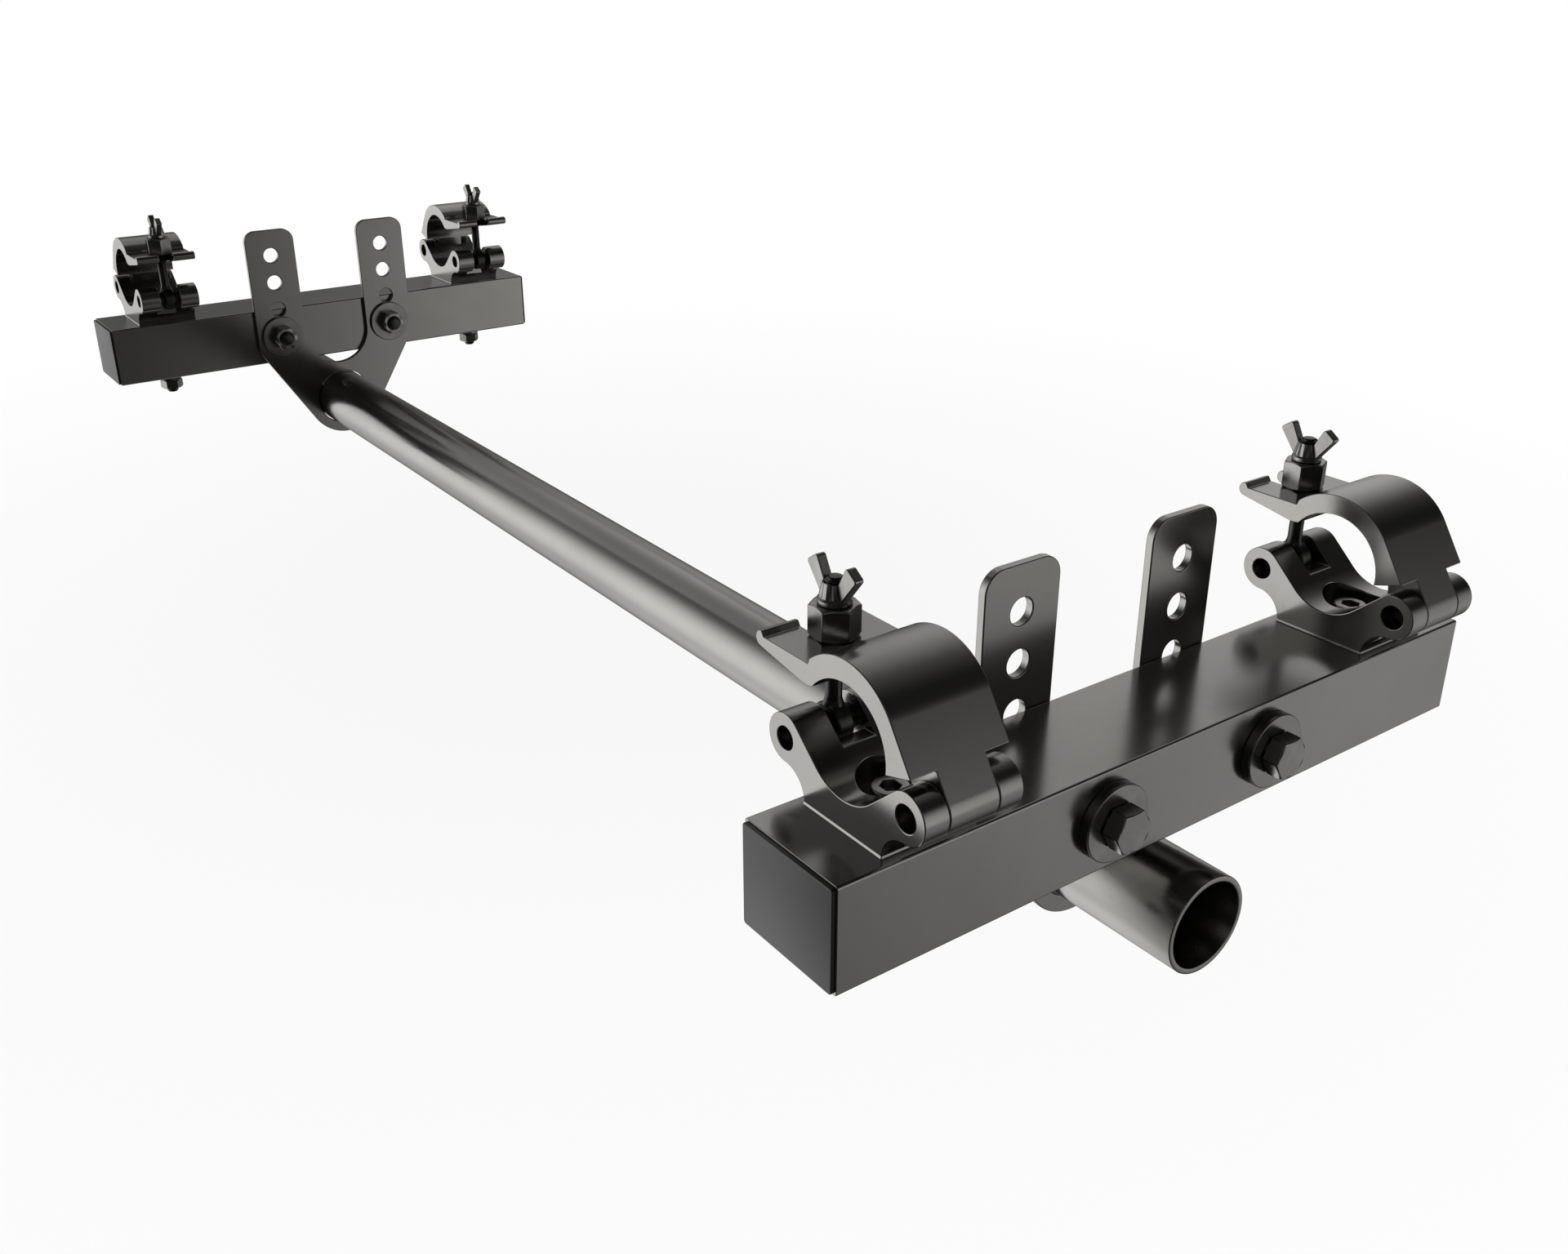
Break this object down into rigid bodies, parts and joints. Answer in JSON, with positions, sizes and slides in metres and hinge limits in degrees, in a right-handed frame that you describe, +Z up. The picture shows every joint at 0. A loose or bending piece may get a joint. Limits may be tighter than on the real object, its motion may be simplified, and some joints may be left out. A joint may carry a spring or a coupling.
{
  "type": "truss low bar",
  "caption": "Round rigging tube hung under box-section crossbars by hole-drilled fork plates, with hinged half couplers that clamp to truss chords.",
  "frame": {"origin": "on the main tube's axis, half way between its ends", "axes": "+X along the crossbars to the right, +Y along the tube to the rear, +Z up towards the truss"},
  "size_m": [0.403, 1.142, 0.2223],
  "materials": {
    "tube": "black powder coat, satin",
    "plate": "black powder coat, satin",
    "crossbar": "black powder coat, satin",
    "coupler": "black powder coat, satin",
    "cap": "black moulded plastic",
    "washer": "black, semi-gloss",
    "fastener": "blackened steel",
    "wing_nut": "blackened, cast",
    "bolt": "blackened steel",
    "pin": "blackened steel"
  },
  "bodies": {
    "frame": {"main_tube": "tube", "fork_plate_front": "plate", "fork_plate_rear": "plate", "weld_beads_front": "plate", "weld_beads_rear": "plate", "crossbar_front": "crossbar", "crossbar_rear": "crossbar", "end_cap_front_left": "cap", "end_cap_front_right": "cap", "end_cap_rear_left": "cap", "end_cap_rear_right": "cap", "fork_bolts_front": "fastener", "fork_bolts_rear": "fastener", "outer_washers_front": "washer", "outer_washers_rear": "washer", "inner_washers_front": "washer", "inner_washers_rear": "washer", "fork_nuts_front": "fastener", "fork_nuts_rear": "fastener", "coupler_base_front_left": "coupler", "coupler_base_front_right": "coupler", "coupler_base_rear_left": "coupler", "coupler_base_rear_right": "coupler", "hinge_pin_front_left": "pin", "hinge_pin_front_right": "pin", "hinge_pin_rear_left": "pin", "hinge_pin_rear_right": "pin", "swing_pin_front_left": "pin", "swing_pin_front_right": "pin", "swing_pin_rear_left": "pin", "swing_pin_rear_right": "pin", "mounting_bolt_front_left": "bolt", "mounting_bolt_front_right": "bolt", "mounting_bolt_rear_left": "bolt", "mounting_bolt_rear_right": "bolt", "mounting_nuts_front_left": "fastener", "mounting_nuts_front_right": "fastener", "mounting_nuts_rear_left": "fastener", "mounting_nuts_rear_right": "fastener"},
    "jaw_front_left": {"coupler_jaw_front_left": "coupler"},
    "eye_bolt_front_left": {"eye_bolt_front_left": "bolt"},
    "clamp_nut_front_left": {"clamp_nut_front_left": "fastener"},
    "wing_nut_front_left": {"wing_nut_front_left": "wing_nut"},
    "jaw_front_right": {"coupler_jaw_front_right": "coupler"},
    "eye_bolt_front_right": {"eye_bolt_front_right": "bolt"},
    "clamp_nut_front_right": {"clamp_nut_front_right": "fastener"},
    "wing_nut_front_right": {"wing_nut_front_right": "wing_nut"},
    "jaw_rear_left": {"coupler_jaw_rear_left": "coupler"},
    "eye_bolt_rear_left": {"eye_bolt_rear_left": "bolt"},
    "clamp_nut_rear_left": {"clamp_nut_rear_left": "fastener"},
    "wing_nut_rear_left": {"wing_nut_rear_left": "wing_nut"},
    "jaw_rear_right": {"coupler_jaw_rear_right": "coupler"},
    "eye_bolt_rear_right": {"eye_bolt_rear_right": "bolt"},
    "clamp_nut_rear_right": {"clamp_nut_rear_right": "fastener"},
    "wing_nut_rear_right": {"wing_nut_rear_right": "wing_nut"}
  },
  "joints": [
    {"name": "jaw_hinge_front_left", "type": "hinge", "parent": "frame", "child": "jaw_front_left", "pos_m": [-0.15, -0.56, 0.116], "axis": [1, 0, 0], "range_deg": [0, 100]},
    {"name": "eye_bolt_swing_front_left", "type": "hinge", "parent": "frame", "child": "eye_bolt_front_left", "pos_m": [-0.15, -0.485, 0.116], "axis": [-1, 0, 0], "range_deg": [0, 90]},
    {"name": "clamp_nut_run_front_left", "type": "slide", "parent": "eye_bolt_front_left", "child": "clamp_nut_front_left", "axis": [0, 0, 1], "range_m": [0, 0.271]},
    {"name": "wing_nut_turn_front_left", "type": "hinge", "parent": "clamp_nut_front_left", "child": "wing_nut_front_left", "pos_m": [-0.15, -0.485, 0.172], "axis": [0, 0, 1], "continuous": true},
    {"name": "jaw_hinge_front_right", "type": "hinge", "parent": "frame", "child": "jaw_front_right", "pos_m": [0.15, -0.56, 0.116], "axis": [1, 0, 0], "range_deg": [0, 100]},
    {"name": "eye_bolt_swing_front_right", "type": "hinge", "parent": "frame", "child": "eye_bolt_front_right", "pos_m": [0.15, -0.485, 0.116], "axis": [-1, 0, 0], "range_deg": [0, 90]},
    {"name": "clamp_nut_run_front_right", "type": "slide", "parent": "eye_bolt_front_right", "child": "clamp_nut_front_right", "axis": [0, 0, 1], "range_m": [0, 0.271]},
    {"name": "wing_nut_turn_front_right", "type": "hinge", "parent": "clamp_nut_front_right", "child": "wing_nut_front_right", "pos_m": [0.15, -0.485, 0.172], "axis": [0, 0, 1], "continuous": true},
    {"name": "jaw_hinge_rear_left", "type": "hinge", "parent": "frame", "child": "jaw_rear_left", "pos_m": [-0.15, 0.56, 0.116], "axis": [-1, 0, 0], "range_deg": [0, 100]},
    {"name": "eye_bolt_swing_rear_left", "type": "hinge", "parent": "frame", "child": "eye_bolt_rear_left", "pos_m": [-0.15, 0.485, 0.116], "axis": [1, 0, 0], "range_deg": [0, 90]},
    {"name": "clamp_nut_run_rear_left", "type": "slide", "parent": "eye_bolt_rear_left", "child": "clamp_nut_rear_left", "axis": [0, 0, 1], "range_m": [0, 0.271]},
    {"name": "wing_nut_turn_rear_left", "type": "hinge", "parent": "clamp_nut_rear_left", "child": "wing_nut_rear_left", "pos_m": [-0.15, 0.485, 0.172], "axis": [0, 0, 1], "continuous": true},
    {"name": "jaw_hinge_rear_right", "type": "hinge", "parent": "frame", "child": "jaw_rear_right", "pos_m": [0.15, 0.56, 0.116], "axis": [-1, 0, 0], "range_deg": [0, 100]},
    {"name": "eye_bolt_swing_rear_right", "type": "hinge", "parent": "frame", "child": "eye_bolt_rear_right", "pos_m": [0.15, 0.485, 0.116], "axis": [1, 0, 0], "range_deg": [0, 90]},
    {"name": "clamp_nut_run_rear_right", "type": "slide", "parent": "eye_bolt_rear_right", "child": "clamp_nut_rear_right", "axis": [0, 0, 1], "range_m": [0, 0.271]},
    {"name": "wing_nut_turn_rear_right", "type": "hinge", "parent": "clamp_nut_rear_right", "child": "wing_nut_rear_right", "pos_m": [0.15, 0.485, 0.172], "axis": [0, 0, 1], "continuous": true}
  ],
  "couplings": [
    {"joint": "eye_bolt_swing_front_left", "follows": "jaw_hinge_front_left", "ratio": 0.9},
    {"joint": "clamp_nut_run_front_left", "follows": "jaw_hinge_front_left", "m_per_rad": 0.155},
    {"joint": "eye_bolt_swing_front_right", "follows": "jaw_hinge_front_right", "ratio": 0.9},
    {"joint": "clamp_nut_run_front_right", "follows": "jaw_hinge_front_right", "m_per_rad": 0.155},
    {"joint": "eye_bolt_swing_rear_left", "follows": "jaw_hinge_rear_left", "ratio": 0.9},
    {"joint": "clamp_nut_run_rear_left", "follows": "jaw_hinge_rear_left", "m_per_rad": 0.155},
    {"joint": "eye_bolt_swing_rear_right", "follows": "jaw_hinge_rear_right", "ratio": 0.9},
    {"joint": "clamp_nut_run_rear_right", "follows": "jaw_hinge_rear_right", "m_per_rad": 0.155}
  ]
}
